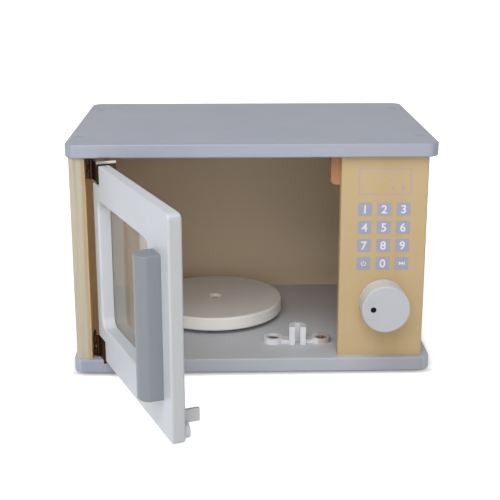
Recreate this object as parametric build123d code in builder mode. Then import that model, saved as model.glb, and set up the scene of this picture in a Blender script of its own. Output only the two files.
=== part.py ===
from build123d import *
from math import asin, cos, radians, sin
import os

# A wooden toy microwave oven. Millimetres, +Z up, the door faces -Y.
# The origin is on the underside of the base, at the middle of its outline.
# The door rests part open, as it stands in use, and shuts when it turns back by door_angle.

# Driving dimensions of the two painted boards
board_width = 302.0
board_depth = 215.0
board_thickness = 11.5
board_corner_radius = 10.0
board_edge_radius = 1.5
base_foot_radius = 0.5
cabinet_height = 195.5

# Driving dimensions of the upright boards
side_thickness = 13.0
left_overhang = 3.0
right_overhang = 7.0
left_side_setback = 3.0
panel_setback = 7.0
back_setback = 8.0
back_thickness = 8.0
upright_edge_radius = 0.8
panel_width = 71.6
panel_thickness = 10.0
panel_edge_radius = 1.5

# Glued corner blocks behind the control panel
block_width = 20.0
block_depth = 14.0
block_height = 26.0
block_reveal = 7.5
block_corner_radius = 4.0
block_hidden_inset = 2.0

# Door: its height and width come from the opening and these gaps
door_angle = 68.0
door_extra_swing = 42.0
door_thickness = 10.3
door_setback = 2.27
door_top_gap = 4.0
door_bottom_gap = 2.2
finger_gap = 15.45
door_top_corner_radius = 5.0
door_foot_corner_radius = 2.8
door_edge_radius = 1.8
hinge_stile = 13.3
free_stile = 44.5
rail_height = 29.5
window_corner_radius = 9.0
notch_width = 18.3
notch_height = 16.9

# Clear window pane, screwed to the inner face of the door
pane_thickness = 2.0
pane_overlap = 7.0
pane_side_overlap = 6.0
pane_corner_radius = 4.0
pane_screw_columns = 3
pane_screw_inset = 22.0

# Handle bar on the free stile
handle_width = 18.5
handle_reach = 16.5
handle_round = 6.0
handle_shoulder_radius = 4.0
handle_length = 107.0
handle_inset = 16.0
handle_drop = 2.0
handle_edge_radius = 1.6
handle_screw_spacing = 72.0
handle_screw_depth = 8.0

# Cranked butt hinges, one in each notch: their height fills the notch less these gaps
hinge_board_gap = 0.5
hinge_ledge_gap = 0.5
leaf_thickness = 1.2
wall_leaf_reach = 16.0
leaf_corner_radius = 2.0
barrel_radius = 1.8
pin_radius = 0.9
pin_clearance = 0.05
barrel_wall_gap = 2.85
edge_from_pivot = 1.5
barrel_ahead = 0.1
knuckle_gap = 0.3
leaf_cutback = 0.6
leaf_lap = 1.0
flange_front_overhang = 1.3
flange_rear_overhang = 4.8
hinge_screw_spacing = 9.0

# Snap catch: a slotted clip on the floor and a blade on the door
blade_inset = 17.2
blade_thickness = 2.6
blade_reach = 16.2
blade_height = 10.0
blade_low = 7.6
striker_thickness = 4.2
striker_ear_radius = 6.0
striker_spread = 9.0
striker_strap_height = 8.0
striker_height = 6.4
catch_gap = 7.23
catch_play = 0.55
slot_reserve = 4.1
prong_width = 5.0
prong_height = 16.5
catch_back = 4.6
catch_back_radius = 6.8
catch_spread = 21.0
ear_setback = 2.0
ear_radius = 8.25
ear_height = 5.0
ear_cup_radius = 6.0
ear_cup_depth = 2.6
strap_depth = 10.0
strap_height = 3.0

# Turntable on a shouldered screw
turntable_radius = 62.5
turntable_thickness = 12.6
turntable_edge_radius = 2.0
turntable_offset_x = -32.4
turntable_offset_y = 10.5
turntable_lift = 3.9
turntable_cup_radius = 6.6
turntable_cup_depth = 4.2
spindle_radius = 2.5
spindle_head_radius = 5.0
spindle_head_height = 2.0
spindle_bite = 8.0
spacer_radius = 9.0

# Control knob on a wooden shaft
knob_radius = 20.0
knob_length = 20.5
knob_edge_radius = 1.4
knob_height = 59.2
knob_inset = 34.3
knob_panel_gap = 0.5
knob_socket_depth = 12.0
shaft_radius = 5.0
retainer_radius = 9.0
retainer_thickness = 3.0
marker_radius = 2.4
marker_depth = 1.5
marker_offset = 10.5

# Screws and plugs
case_screw_radius = 1.75
case_screw_head_radius = 3.6
case_screw_head_height = 2.4
case_screw_length = 30.0
case_screw_front_inset = 33.0
case_screw_rear_inset = 37.0
left_screw_inset = 6.5
right_screw_inset = 4.8
plug_radius = 5.0
plug_thickness = 2.6
plug_dish_depth = 0.8
back_screw_length = 18.0
back_screw_rows = 3
back_screw_margin = 16.0
small_screw_radius = 1.1
small_screw_head_radius = 2.2
small_screw_head_height = 1.0
small_screw_bite = 7.0
screw_head_draft = 12.0
catch_screw_radius = 1.5
catch_screw_head_radius = 5.2
catch_screw_head_height = 1.8
catch_screw_bite = 7.5

# Clearances
running_gap = 0.3
shaft_clearance = 0.08
screw_clearance = 0.05

# Places that follow from the sizes above
floor_height = board_thickness
ceiling_height = cabinet_height - board_thickness
inner_height = ceiling_height - floor_height
front_y = -board_depth / 2 + panel_setback
left_front_y = -board_depth / 2 + left_side_setback
back_y = board_depth / 2 - back_setback
back_inner_y = back_y - back_thickness
left_outer_x = -board_width / 2 + left_overhang
left_inner_x = left_outer_x + side_thickness
right_outer_x = board_width / 2 - right_overhang
right_inner_x = right_outer_x - side_thickness
panel_left_x = right_outer_x - panel_width
panel_back_y = front_y + panel_thickness
left_middle_x = left_outer_x + side_thickness / 2
right_middle_x = right_outer_x - side_thickness / 2

# The door's own directions: along its width, and inward through its thickness
swing = radians(door_angle)
door_along = Vector(cos(swing), -sin(swing), 0)
door_outward = Vector(-sin(swing), -cos(swing), 0)
pivot_x = left_inner_x + barrel_wall_gap + barrel_radius
pivot_y = front_y + door_setback - barrel_ahead
door_width = panel_left_x - finger_gap - pivot_x - edge_from_pivot
door_low = floor_height + door_bottom_gap
door_high = ceiling_height - door_top_gap
door_height = door_high - door_low
door_corner = Vector(pivot_x, pivot_y, 0) + door_along * edge_from_pivot - door_outward * barrel_ahead
window_width = door_width - hinge_stile - free_stile
window_height = door_height - 2 * rail_height
window_middle = hinge_stile + window_width / 2
door_middle_height = (door_low + door_high) / 2
handle_middle = door_width - handle_inset - handle_width / 2
handle_middle_height = door_middle_height - handle_drop


def door_face(depth):
    """Upright plane at a depth inside the door: X along the door, Y up, Z outward."""
    return Plane(door_corner, x_dir=door_along, z_dir=door_outward).offset(-depth)


def door_plan(height):
    """Level plane on the hinge axis: X along the door, Y inward through its thickness."""
    return Plane(Vector(pivot_x, pivot_y, height), x_dir=door_along, z_dir=(0, 0, 1))


def wall_plan(height):
    """Level plane on the hinge axis, square to the cabinet."""
    return Plane(Vector(pivot_x, pivot_y, height), x_dir=(1, 0, 0), z_dir=(0, 0, 1))


def notch_face(height, depth):
    """Plane on the upright side of a door notch, facing the cabinet's side panel."""
    spot = door_corner + door_along * notch_width - door_outward * depth + Vector(0, 0, height)
    return Plane(spot, x_dir=(0, 0, 1), z_dir=-door_along)


def save(builder, name):
    """Label a finished sub-part and write it under its name."""
    builder.part.label = name
    export_step(builder.part, f"parts/{name}.step")


def make_screws(name, seats, head_radius, head_height, shank_radius, shank_length):
    """Screws with domed heads, one on each seat plane, whose shanks run down behind the seat."""
    with BuildPart() as screws:
        for seat in seats:
            with BuildSketch(seat):
                Circle(head_radius)
            extrude(amount=head_height, taper=screw_head_draft)
            with BuildSketch(seat):
                Circle(shank_radius)
            extrude(amount=-shank_length)
    save(screws, name)


def drill(planes, radius, depth):
    """Blind holes into the part being built, one from each plane against its normal."""
    for plane in planes:
        with BuildSketch(plane) as hole:
            Circle(radius)
        extrude(hole.sketch, amount=-depth, mode=Mode.SUBTRACT)


# Seats of the screws, each a plane under the screw's head
case_spots = [(x, y) for x in (left_outer_x + left_screw_inset, right_outer_x - right_screw_inset)
              for y in (case_screw_front_inset - board_depth / 2, board_depth / 2 - case_screw_rear_inset)]
case_head_sink = plug_thickness + case_screw_head_height
top_seats = [Plane((x, y, cabinet_height - case_head_sink)) for x, y in case_spots]
bottom_seats = [Plane((x, y, case_head_sink), x_dir=(1, 0, 0), z_dir=(0, 0, -1)) for x, y in case_spots]

back_row_pitch = (inner_height - 2 * back_screw_margin) / (back_screw_rows - 1)
back_heights = [floor_height + back_screw_margin + row * back_row_pitch for row in range(back_screw_rows)]
back_head_sink = case_screw_head_height
back_seats = [Plane((x, back_y - back_head_sink, z), x_dir=(1, 0, 0), z_dir=(0, 1, 0))
              for x in (left_middle_x, right_middle_x) for z in back_heights]

hinge_height = notch_height + min(door_top_gap, door_bottom_gap) - hinge_board_gap - hinge_ledge_gap
lower_hinge_low = floor_height + hinge_board_gap
upper_hinge_low = ceiling_height - hinge_board_gap - hinge_height
hinges = {"lower": lower_hinge_low, "upper": upper_hinge_low}
hinge_screw_heights = [low + hinge_height / 2 + side * hinge_screw_spacing / 2
                       for low in hinges.values() for side in (-1, 1)]
wall_screw_y = pivot_y + wall_leaf_reach - hinge_screw_spacing / 2 - leaf_corner_radius
wall_screw_seats = [Plane((left_inner_x + leaf_thickness, wall_screw_y, z), x_dir=(0, 1, 0), z_dir=(1, 0, 0))
                    for z in hinge_screw_heights]
door_screw_seats = [notch_face(z, door_thickness / 2).offset(leaf_thickness) for z in hinge_screw_heights]

# Snap catch: how far the blade swings sideways while it slides into the slot
blade_along = door_width - blade_inset
blade_arm = edge_from_pivot + blade_along
blade_tip = barrel_ahead + door_thickness + blade_reach
clip_front = barrel_ahead + door_thickness + striker_thickness + catch_gap
entry_angle = asin((blade_tip - clip_front) / blade_arm)
blade_drift = clip_front * entry_angle + blade_arm * entry_angle ** 2 / 2
slot_width = blade_thickness + blade_drift + 2 * catch_play
slot_middle_x = pivot_x + blade_arm + blade_drift / 2
clip_width = slot_width + 2 * prong_width
clip_front_y = pivot_y + clip_front
slot_end_y = pivot_y + blade_tip + slot_reserve
clip_back_y = slot_end_y + catch_back
ear_y = (clip_front_y + clip_back_y) / 2 + ear_setback
ear_seats = [Plane((slot_middle_x + side * catch_spread, ear_y, floor_height + ear_height - ear_cup_depth))
             for side in (-1, 1)]
blade_low_z = door_low + blade_low
striker_z = door_low + striker_height
striker_seats = [Plane(door_corner + door_along * (blade_along + side * striker_spread)
                       - door_outward * (door_thickness + striker_thickness) + Vector(0, 0, striker_z),
                       x_dir=door_along, z_dir=-door_outward) for side in (-1, 1)]

# Pane and handle screws, seated on the inside of the door
pane_span = window_width - 2 * pane_screw_inset
pane_along = [hinge_stile + pane_screw_inset + pane_span * column / (pane_screw_columns - 1)
              for column in range(pane_screw_columns)]
pane_heights = [door_low + rail_height - pane_overlap / 2, door_high - rail_height + pane_overlap / 2]
pane_seats = [Plane(door_corner + door_along * s - door_outward * (door_thickness + pane_thickness)
                    + Vector(0, 0, z), x_dir=door_along, z_dir=-door_outward)
              for s in pane_along for z in pane_heights]
handle_seats = [Plane(door_corner + door_along * handle_middle - door_outward * door_thickness
                      + Vector(0, 0, handle_middle_height + side * handle_screw_spacing / 2),
                      x_dir=door_along, z_dir=-door_outward) for side in (-1, 1)]

# Turntable and knob centres
turntable_low = floor_height + turntable_lift
turntable_high = turntable_low + turntable_thickness
knob_x = right_outer_x - knob_inset
knob_back_y = front_y - knob_panel_gap
knob_front_y = knob_back_y - knob_length
shaft_end_y = panel_back_y + running_gap


os.makedirs("parts", exist_ok=True)

# Top board: rounded corners, eased edges, and stepped holes for screws under plugs
with BuildPart() as top_board:
    with BuildSketch(Plane.XY.offset(ceiling_height)):
        RectangleRounded(board_width, board_depth, board_corner_radius)
    extrude(amount=board_thickness)
    fillet(top_board.faces().sort_by(Axis.Z)[-1].edges(), board_edge_radius)
    fillet(top_board.faces().sort_by(Axis.Z)[0].edges(), board_edge_radius)
    drill([Plane((x, y, cabinet_height)) for x, y in case_spots], plug_radius, plug_thickness)
    drill([Plane((x, y, cabinet_height)) for x, y in case_spots],
          case_screw_head_radius + screw_clearance, case_head_sink)
    drill(top_seats, case_screw_radius + screw_clearance, board_thickness)
save(top_board, "top_board")

# Base board: the same board, screwed from below, with pilot holes for what stands on the floor
with BuildPart() as bottom_board:
    with BuildSketch(Plane.XY):
        RectangleRounded(board_width, board_depth, board_corner_radius)
    extrude(amount=board_thickness)
    fillet(bottom_board.faces().sort_by(Axis.Z)[-1].edges(), board_edge_radius)
    fillet(bottom_board.faces().sort_by(Axis.Z)[0].edges(), base_foot_radius)
    drill([Plane((x, y, 0), x_dir=(1, 0, 0), z_dir=(0, 0, -1)) for x, y in case_spots],
          case_screw_head_radius + screw_clearance, case_head_sink)
    drill(bottom_seats, case_screw_radius + screw_clearance, board_thickness)
    drill([Plane((turntable_offset_x, turntable_offset_y, floor_height))],
          spindle_radius + screw_clearance, spindle_bite + running_gap)
    drill([Plane((seat.origin.X, seat.origin.Y, floor_height)) for seat in ear_seats],
          catch_screw_radius + screw_clearance, catch_screw_bite)
save(bottom_board, "bottom_board")

# Plugs that close the top board's screw holes, each dished below the surface by a large ball
plug_ball_radius = (plug_radius ** 2 + plug_dish_depth ** 2) / (2 * plug_dish_depth)
with BuildPart() as top_board_plugs:
    for x, y in case_spots:
        with BuildSketch(Plane((x, y, cabinet_height - plug_thickness))):
            Circle(plug_radius - screw_clearance)
        extrude(amount=plug_thickness)
        with Locations((x, y, cabinet_height - plug_dish_depth + plug_ball_radius)):
            Sphere(plug_ball_radius, mode=Mode.SUBTRACT)
save(top_board_plugs, "top_board_plugs")


def make_side_panel(name, outer_x, inner_x, panel_front_y, wall_screws):
    """One upright side, with pilots for the board screws, the back screws and the hinge screws."""
    with BuildPart() as side_panel:
        with BuildSketch(Plane.XY.offset(floor_height)):
            with Locations(((outer_x + inner_x) / 2, (panel_front_y + back_inner_y) / 2)):
                Rectangle(abs(outer_x - inner_x), back_inner_y - panel_front_y)
        extrude(amount=inner_height)
        fillet(side_panel.edges().filter_by(Axis.Z), upright_edge_radius)
        own_seats = [seat for seat in top_seats + bottom_seats
                     if min(outer_x, inner_x) < seat.origin.X < max(outer_x, inner_x)]
        drill(own_seats, case_screw_radius + screw_clearance, case_screw_length + running_gap)
        own_back = [seat for seat in back_seats
                    if min(outer_x, inner_x) < seat.origin.X < max(outer_x, inner_x)]
        drill(own_back, case_screw_radius + screw_clearance, back_screw_length + running_gap)
        drill(wall_screws, small_screw_radius + screw_clearance,
              leaf_thickness + small_screw_bite + running_gap)
    save(side_panel, name)


make_side_panel("left_side_panel", left_outer_x, left_inner_x, left_front_y, wall_screw_seats)
make_side_panel("right_side_panel", right_outer_x, right_inner_x, panel_back_y, [])

# Back panel: covers the rear edges of both sides
with BuildPart() as back_panel:
    with BuildSketch(Plane((0, back_y, 0), x_dir=(1, 0, 0), z_dir=(0, -1, 0))):
        with Locations(((left_outer_x + right_outer_x) / 2, (floor_height + ceiling_height) / 2)):
            Rectangle(right_outer_x - left_outer_x, inner_height)
    extrude(amount=back_thickness)
    fillet(back_panel.edges().filter_by(Axis.Z), upright_edge_radius)
    drill([seat.offset(back_head_sink) for seat in back_seats],
          case_screw_head_radius + screw_clearance, back_head_sink)
    drill(back_seats, case_screw_radius + screw_clearance, back_thickness)
save(back_panel, "back_panel")

# Control panel: covers the front edge of the right side, bored for the knob's shaft
with BuildPart() as control_panel:
    with BuildSketch(Plane((0, front_y, 0), x_dir=(1, 0, 0), z_dir=(0, -1, 0))):
        with Locations((panel_left_x + panel_width / 2, (floor_height + ceiling_height) / 2)):
            Rectangle(panel_width, inner_height)
        with Locations((knob_x, knob_height)):
            Circle(shaft_radius + shaft_clearance, mode=Mode.SUBTRACT)
    extrude(amount=-panel_thickness)
    fillet(control_panel.edges().filter_by(Axis.Z).group_by(Axis.Y)[0], panel_edge_radius)
save(control_panel, "control_panel")


def make_corner_block(name, left_x, low_z, rounded_end):
    """A glued block behind the control panel, with its free corner rounded."""
    with BuildPart() as corner_block:
        with BuildSketch(Plane((0, panel_back_y, 0), x_dir=(1, 0, 0), z_dir=(0, -1, 0))):
            with Locations((left_x + block_width / 2, low_z + block_height / 2)):
                Rectangle(block_width, block_height)
        extrude(amount=-block_depth)
        left_edges = corner_block.edges().filter_by(Axis.Y).group_by(Axis.X)[0]
        fillet(left_edges.sort_by(Axis.Z)[rounded_end], block_corner_radius)
    save(corner_block, name)


make_corner_block("upper_corner_block", panel_left_x - block_reveal, ceiling_height - block_height, 0)
make_corner_block("lower_corner_block", panel_left_x + block_hidden_inset, floor_height, -1)

# Door frame: one board with a window and a notch at each hinge-side corner
with BuildPart() as door_frame:
    with BuildSketch(door_face(0)):
        with BuildLine():
            Polyline(
                (0, door_low + notch_height),
                (0, door_high - notch_height),
                (notch_width, door_high - notch_height),
                (notch_width, door_high),
                (door_width, door_high),
                (door_width, door_low),
                (notch_width, door_low),
                (notch_width, door_low + notch_height),
                close=True,
            )
        make_face()
        with Locations((window_middle, door_middle_height)):
            RectangleRounded(window_width, window_height, window_corner_radius, mode=Mode.SUBTRACT)
    extrude(amount=-door_thickness)
    upright = door_frame.edges().filter_by(Axis((0, 0, 0), tuple(door_outward)))
    free_corners = upright.group_by(Axis((0, 0, 0), tuple(door_along)))[-1]
    fillet(free_corners.sort_by(Axis.Z)[0], door_foot_corner_radius)
    upright = door_frame.edges().filter_by(Axis((0, 0, 0), tuple(door_outward)))
    free_corners = upright.group_by(Axis((0, 0, 0), tuple(door_along)))[-1]
    fillet(free_corners.sort_by(Axis.Z)[-1], door_top_corner_radius)
    outer_face = door_frame.faces().sort_by(Axis((0, 0, 0), tuple(door_outward)))[-1]
    fillet(outer_face.edges(), door_edge_radius)
    inner_face = door_frame.faces().sort_by(Axis((0, 0, 0), tuple(door_outward)))[0]
    fillet(inner_face.outer_wire().edges(), door_edge_radius)
    drill(door_screw_seats, small_screw_radius + screw_clearance,
          leaf_thickness + small_screw_bite + running_gap)
    drill(pane_seats, small_screw_radius + screw_clearance,
          pane_thickness + small_screw_bite + running_gap)
    drill(handle_seats, case_screw_radius + screw_clearance, door_thickness)
    drill(striker_seats, small_screw_radius + screw_clearance,
          striker_thickness + small_screw_bite + running_gap)
save(door_frame, "door_frame")

# Window pane of clear sheet behind the opening
with BuildPart() as door_window:
    with BuildSketch(door_face(door_thickness)):
        with Locations((window_middle, door_middle_height)):
            RectangleRounded(window_width + 2 * pane_side_overlap, window_height + 2 * pane_overlap,
                             pane_corner_radius)
    extrude(amount=-pane_thickness)
    drill(pane_seats, small_screw_radius + screw_clearance, pane_thickness)
save(door_window, "door_window")

# Handle: an upright bar with a flat back and a bowed front
with BuildPart() as door_handle:
    with BuildSketch(door_plan(handle_middle_height - handle_length / 2)) as handle_outline:
        with BuildLine():
            handle_left = edge_from_pivot + handle_middle - handle_width / 2
            handle_right = handle_left + handle_width
            flank_end = barrel_ahead - handle_reach + handle_round
            Line((handle_left, flank_end), (handle_left, barrel_ahead))
            Line((handle_left, barrel_ahead), (handle_right, barrel_ahead))
            Line((handle_right, barrel_ahead), (handle_right, flank_end))
            ThreePointArc((handle_right, flank_end),
                          ((handle_left + handle_right) / 2, barrel_ahead - handle_reach),
                          (handle_left, flank_end))
        make_face()
        fillet(handle_outline.vertices().group_by(Axis.Y)[0], handle_shoulder_radius)
    extrude(amount=handle_length)
    handle_ends = door_handle.faces().filter_by(Axis.Z)
    back_line = Axis((0, 0, 0), tuple(door_outward))
    end_edges = handle_ends.edges().sort_by(back_line)[2:]
    fillet(end_edges, handle_edge_radius)
    drill(handle_seats, case_screw_radius + screw_clearance,
          door_thickness + handle_screw_depth + running_gap)
save(door_handle, "door_handle")


def knuckle_bands(low):
    """Heights of the three knuckles of one hinge, each as (bottom, length)."""
    pitch = hinge_height / 3
    length = pitch - knuckle_gap
    return [(low + knuckle_gap / 2 + band * pitch, length) for band in range(3)]


def make_hinge(side, low):
    """A butt hinge in one door notch: cranked wall leaf, cranked door leaf and pin."""
    bands = knuckle_bands(low)
    bore_radius = pin_radius + pin_clearance
    wall_side = left_inner_x - pivot_x

    # The wall leaf lies on the side panel, turns off it and rolls into the two end knuckles
    with BuildPart() as wall_leaf:
        with BuildSketch(Plane((left_inner_x, pivot_y, low), x_dir=(0, 1, 0), z_dir=(1, 0, 0))):
            leaf_start = barrel_radius + leaf_cutback
            with Locations(((leaf_start + wall_leaf_reach) / 2, hinge_height / 2)):
                Rectangle(wall_leaf_reach - leaf_start, hinge_height)
        extrude(amount=leaf_thickness)
        far_corners = wall_leaf.edges().filter_by(Axis.X).group_by(Axis.Y)[-1]
        fillet(far_corners, leaf_corner_radius)
        for band_low, band_length in (bands[0], bands[2]):
            with BuildSketch(wall_plan(band_low)):
                Circle(barrel_radius)
                with Locations((wall_side / 2, barrel_radius - leaf_thickness / 2)):
                    Rectangle(-wall_side, leaf_thickness)
                web_start = barrel_radius - leaf_thickness
                with Locations((wall_side + leaf_thickness / 2, (web_start + leaf_start + leaf_lap) / 2)):
                    Rectangle(leaf_thickness, leaf_start + leaf_lap - web_start)
                Circle(bore_radius, mode=Mode.SUBTRACT)
            extrude(amount=band_length)
        drill([seat for seat in wall_screw_seats if low < seat.origin.Z < low + hinge_height],
              small_screw_radius + screw_clearance, leaf_thickness)
    save(wall_leaf, f"{side}_hinge_wall_leaf")

    # The door leaf rolls round the pin, crosses the notch and turns to lie on its upright side
    with BuildPart() as door_leaf:
        arm_start = barrel_radius + leaf_cutback
        arm_end = edge_from_pivot + notch_width
        arm_inner = barrel_radius
        with BuildSketch(door_plan(low)):
            with Locations(((arm_start + arm_end) / 2, arm_inner - leaf_thickness / 2)):
                Rectangle(arm_end - arm_start, leaf_thickness)
            flange_low = barrel_ahead - flange_front_overhang
            flange_high = barrel_ahead + door_thickness + flange_rear_overhang
            with Locations((arm_end - leaf_thickness / 2, (flange_low + flange_high) / 2)):
                Rectangle(leaf_thickness, flange_high - flange_low)
        extrude(amount=hinge_height)
        band_low, band_length = bands[1]
        with BuildSketch(door_plan(band_low)):
            Circle(barrel_radius)
            with Locations(((arm_start + leaf_lap) / 2, arm_inner - leaf_thickness / 2)):
                Rectangle(arm_start + leaf_lap, leaf_thickness)
            Circle(bore_radius, mode=Mode.SUBTRACT)
        extrude(amount=band_length)
        drill([seat for seat in door_screw_seats if low < seat.origin.Z < low + hinge_height],
              small_screw_radius + screw_clearance, leaf_thickness)
    save(door_leaf, f"{side}_hinge_door_leaf")

    # The pin runs the whole height, with its ends eased
    with BuildPart() as hinge_pin:
        with BuildSketch(wall_plan(low)):
            Circle(pin_radius)
        extrude(amount=hinge_height)
        chamfer(hinge_pin.edges().filter_by(GeomType.CIRCLE), pin_radius / 3)
    save(hinge_pin, f"{side}_hinge_pin")


for hinge_side, hinge_low in hinges.items():
    make_hinge(hinge_side, hinge_low)

# Catch clip: two cupped ears, a strap between them, and a slotted block that takes the blade
with BuildPart() as catch_clip:
    with BuildSketch(Plane.XY.offset(floor_height)):
        with Locations((slot_middle_x, ear_y)):
            Rectangle(2 * catch_spread, strap_depth)
    extrude(amount=strap_height)
    with BuildSketch(Plane.XY.offset(floor_height)):
        with Locations([(seat.origin.X, seat.origin.Y) for seat in ear_seats]):
            Circle(ear_radius)
    extrude(amount=ear_height)
    drill([seat.offset(ear_cup_depth) for seat in ear_seats], ear_cup_radius, ear_cup_depth)
    drill(ear_seats, catch_screw_radius + screw_clearance, ear_height)
    with BuildSketch(Plane.XY.offset(floor_height)) as clip_outline:
        with Locations((slot_middle_x, (clip_front_y + clip_back_y) / 2)):
            Rectangle(clip_width, clip_back_y - clip_front_y)
        fillet(clip_outline.vertices().group_by(Axis.Y)[-1], catch_back_radius)
    extrude(amount=prong_height)
    with BuildSketch(Plane.XY.offset(floor_height)):
        with Locations((slot_middle_x, (clip_front_y + slot_end_y) / 2)):
            Rectangle(slot_width, slot_end_y - clip_front_y)
    extrude(amount=prong_height, mode=Mode.SUBTRACT)
save(catch_clip, "catch_clip")

# Striker: two screwed ears joined by a strap on the door, with a blade that stands square to them
with BuildPart() as catch_striker:
    with BuildSketch(door_face(door_thickness)):
        with Locations((blade_along, striker_z)):
            Rectangle(2 * striker_spread, striker_strap_height)
        with Locations([(blade_along + side * striker_spread, striker_z) for side in (-1, 1)]):
            Circle(striker_ear_radius)
    extrude(amount=-striker_thickness)
    with BuildSketch(door_face(door_thickness)):
        with Locations((blade_along, blade_low_z + blade_height / 2)):
            Rectangle(blade_thickness, blade_height)
    extrude(amount=-blade_reach)
    drill(striker_seats, small_screw_radius + screw_clearance, striker_thickness)
save(catch_striker, "catch_striker")

# Turntable: a rounded disc with a cup for the screw's head
with BuildPart() as turntable:
    with BuildSketch(Plane((turntable_offset_x, turntable_offset_y, turntable_low))):
        Circle(turntable_radius)
    extrude(amount=turntable_thickness)
    fillet(turntable.edges().filter_by(GeomType.CIRCLE), turntable_edge_radius)
    drill([Plane((turntable_offset_x, turntable_offset_y, turntable_high))],
          turntable_cup_radius, turntable_cup_depth)
    drill([Plane((turntable_offset_x, turntable_offset_y, turntable_high))],
          spindle_radius + shaft_clearance, turntable_thickness)
save(turntable, "turntable")

spindle_seat_z = turntable_high - turntable_cup_depth + running_gap
make_screws("turntable_screw", [Plane((turntable_offset_x, turntable_offset_y, spindle_seat_z))],
            spindle_head_radius, spindle_head_height, spindle_radius,
            spindle_seat_z - floor_height + spindle_bite)

# Spacer ring that holds the turntable off the floor
with BuildPart() as turntable_spacer:
    with BuildSketch(Plane((turntable_offset_x, turntable_offset_y, floor_height))):
        Circle(spacer_radius)
        Circle(spindle_radius + screw_clearance, mode=Mode.SUBTRACT)
    extrude(amount=turntable_lift - running_gap)
save(turntable_spacer, "turntable_spacer")

# Knob: a turned cylinder with a blind socket behind and a small blind hole for its marker
with BuildPart() as knob:
    with BuildSketch(Plane((knob_x, knob_back_y, knob_height), x_dir=(1, 0, 0), z_dir=(0, -1, 0))):
        Circle(knob_radius)
    extrude(amount=knob_length)
    fillet(knob.edges().filter_by(GeomType.CIRCLE).sort_by(Axis.Y)[0], knob_edge_radius)
    with BuildSketch(Plane((knob_x, knob_back_y, knob_height), x_dir=(1, 0, 0), z_dir=(0, -1, 0))):
        Circle(shaft_radius + screw_clearance)
    extrude(amount=knob_socket_depth, mode=Mode.SUBTRACT)
    with BuildSketch(Plane((knob_x - marker_offset, knob_front_y, knob_height), x_dir=(1, 0, 0),
                           z_dir=(0, -1, 0))):
        Circle(marker_radius)
    extrude(amount=-marker_depth, mode=Mode.SUBTRACT)
save(knob, "knob")

# Marker: a small plug that shows which way the knob points
with BuildPart() as knob_marker:
    with BuildSketch(Plane((knob_x - marker_offset, knob_front_y, knob_height), x_dir=(1, 0, 0),
                           z_dir=(0, -1, 0))):
        Circle(marker_radius - screw_clearance)
    extrude(amount=-marker_depth)
save(knob_marker, "knob_marker")

# Shaft: a dowel from the knob's socket through the panel
with BuildPart() as knob_shaft:
    with BuildSketch(Plane((knob_x, shaft_end_y, knob_height), x_dir=(1, 0, 0), z_dir=(0, -1, 0))):
        Circle(shaft_radius)
        Circle(small_screw_radius + screw_clearance, mode=Mode.SUBTRACT)
    extrude(amount=shaft_end_y - knob_back_y + knob_socket_depth)
save(knob_shaft, "knob_shaft")

# Retainer: a washer that keeps the shaft in the panel, held by a screw into the shaft's end
with BuildPart() as knob_retainer:
    with BuildSketch(Plane((knob_x, shaft_end_y, knob_height), x_dir=(1, 0, 0), z_dir=(0, -1, 0))):
        Circle(retainer_radius)
        Circle(small_screw_radius + screw_clearance, mode=Mode.SUBTRACT)
    extrude(amount=-retainer_thickness)
save(knob_retainer, "knob_retainer")

retainer_seat = Plane((knob_x, shaft_end_y + retainer_thickness, knob_height), x_dir=(1, 0, 0),
                      z_dir=(0, 1, 0))
make_screws("knob_retainer_screw", [retainer_seat], catch_screw_head_radius, catch_screw_head_height,
            small_screw_radius, retainer_thickness + small_screw_bite)

# Wood screws, each set in one node
make_screws("top_board_screws", top_seats, case_screw_head_radius, case_screw_head_height,
            case_screw_radius, case_screw_length)
make_screws("bottom_board_screws", bottom_seats, case_screw_head_radius, case_screw_head_height,
            case_screw_radius, case_screw_length)
make_screws("back_panel_screws", back_seats, case_screw_head_radius, case_screw_head_height,
            case_screw_radius, back_screw_length)
make_screws("hinge_wall_screws", wall_screw_seats, small_screw_head_radius, small_screw_head_height,
            small_screw_radius, leaf_thickness + small_screw_bite)
make_screws("hinge_door_screws", door_screw_seats, small_screw_head_radius, small_screw_head_height,
            small_screw_radius, leaf_thickness + small_screw_bite)
make_screws("window_screws", pane_seats, small_screw_head_radius, small_screw_head_height,
            small_screw_radius, pane_thickness + small_screw_bite)
make_screws("handle_screws", handle_seats, case_screw_head_radius, case_screw_head_height,
            case_screw_radius, door_thickness + handle_screw_depth)
make_screws("striker_screws", striker_seats, small_screw_head_radius, small_screw_head_height,
            small_screw_radius, striker_thickness + small_screw_bite)
make_screws("catch_screws", ear_seats, catch_screw_head_radius, catch_screw_head_height,
            catch_screw_radius, ear_height - ear_cup_depth + catch_screw_bite - running_gap)

print("pivot", pivot_x, pivot_y, "door", door_width, door_height, "slot", slot_width)
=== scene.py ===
# %% [markdown]
# # A wooden toy microwave, dressed in Blender
# The real toy is a small oven for a play kitchen. Two grey painted boards hold bare pine sides, a pine
# control panel and a plywood back. A white door with a clear window stands open on two cranked hinges.
# The CAD model gives every piece its place. Here each one gets its finish, and the small things that
# a solid model leaves plain, such as the printed keys and the crosses in the screws, are built anew.

# %% Load the frame that all pieces fit
from math import cos, pi, radians, sin

import bmesh
import bpy
import numpy as np
from mathutils import Matrix, Vector


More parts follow.
